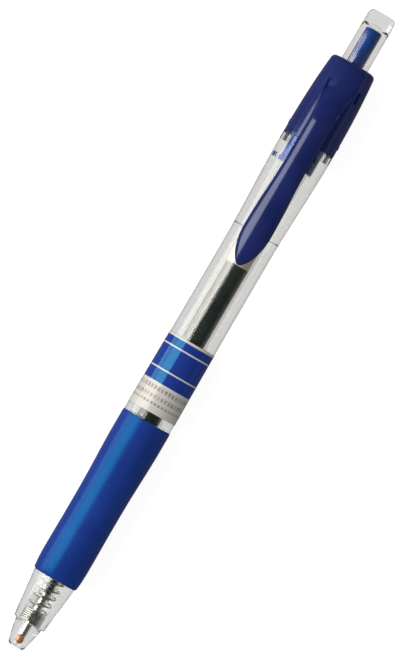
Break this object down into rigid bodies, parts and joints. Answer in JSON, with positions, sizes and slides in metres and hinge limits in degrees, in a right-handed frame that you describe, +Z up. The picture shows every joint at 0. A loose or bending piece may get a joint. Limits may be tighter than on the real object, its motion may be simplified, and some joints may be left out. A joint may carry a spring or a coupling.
{
  "type": "retractable gel pen",
  "caption": "Slim retractable gel pen with a clear barrel, rubber grip, dark blue cap with pocket clip and a clear push button over a spring-loaded refill.",
  "frame": {"origin": "on the pen's axis, in the middle of the straight band at the rear of the grip, where a ring or collar holds the pen", "axes": "+X along the pen from the writing point to the push button, +Z up out of the pocket clip, +Y across"},
  "size_m": [0.145, 0.0114, 0.0135],
  "materials": {
    "clear_plastic": "clear moulded, polished",
    "blue_rubber": "satin moulded",
    "printed_film": "glossy film",
    "cap_plastic": "translucent dark blue, polished",
    "sleeve_plastic": "satin moulded",
    "rotor_plastic": "satin moulded",
    "spring_steel": "drawn wire",
    "tube_plastic": "clear extruded",
    "natural_plastic": "natural moulded",
    "tip_metal": "turned",
    "ball_carbide": "polished",
    "sealing_wax": "waxy",
    "gel_ink": "wet",
    "grease": "wet"
  },
  "bodies": {
    "body": {"nose_cone": "clear_plastic", "barrel": "clear_plastic", "grip_sleeve": "blue_rubber", "label_film": "printed_film", "rear_cap": "cap_plastic", "cam_sleeve": "sleeve_plastic", "return_spring": "spring_steel"},
    "button": {"plunger": "sleeve_plastic", "button_shell": "clear_plastic"},
    "rotor": {"rotor_cam": "rotor_plastic"},
    "refill": {"refill_tube": "tube_plastic", "refill_connector": "natural_plastic", "valve_ball": "tip_metal", "writing_tip": "tip_metal", "tip_ball": "ball_carbide", "tip_seal_bead": "sealing_wax", "ink_column": "gel_ink", "ink_follower": "grease", "tail_plug": "natural_plastic"},
    "clip": {"pocket_clip": "cap_plastic"}
  },
  "joints": [
    {"name": "button_press", "type": "slide", "parent": "body", "child": "button", "axis": [-1, 0, 0], "range_m": [0, 0.0055], "stiffness_N_per_m": 300, "springref_m": -0.005},
    {"name": "refill_slide", "type": "slide", "parent": "body", "child": "refill", "axis": [-1, 0, 0], "range_m": [0, 0.0055], "deforming": ["return_spring"]},
    {"name": "rotor_index", "type": "hinge", "parent": "button", "child": "rotor", "pos_m": [0.06558, 0, 0], "axis": [1, 0, 0], "range_deg": [0, 45]},
    {"name": "clip_flex", "type": "hinge", "parent": "body", "child": "clip", "pos_m": [0.07028, 0, 0.0071], "axis": [0, 1, 0], "range_deg": [0, 5], "stiffness_Nm_per_rad": 1.2}
  ],
  "couplings": [
    {"joint": "refill_slide", "follows": "button_press", "ratio": 1},
    {"joint": "rotor_index", "follows": "button_press", "rad_per_m": 142.79}
  ]
}
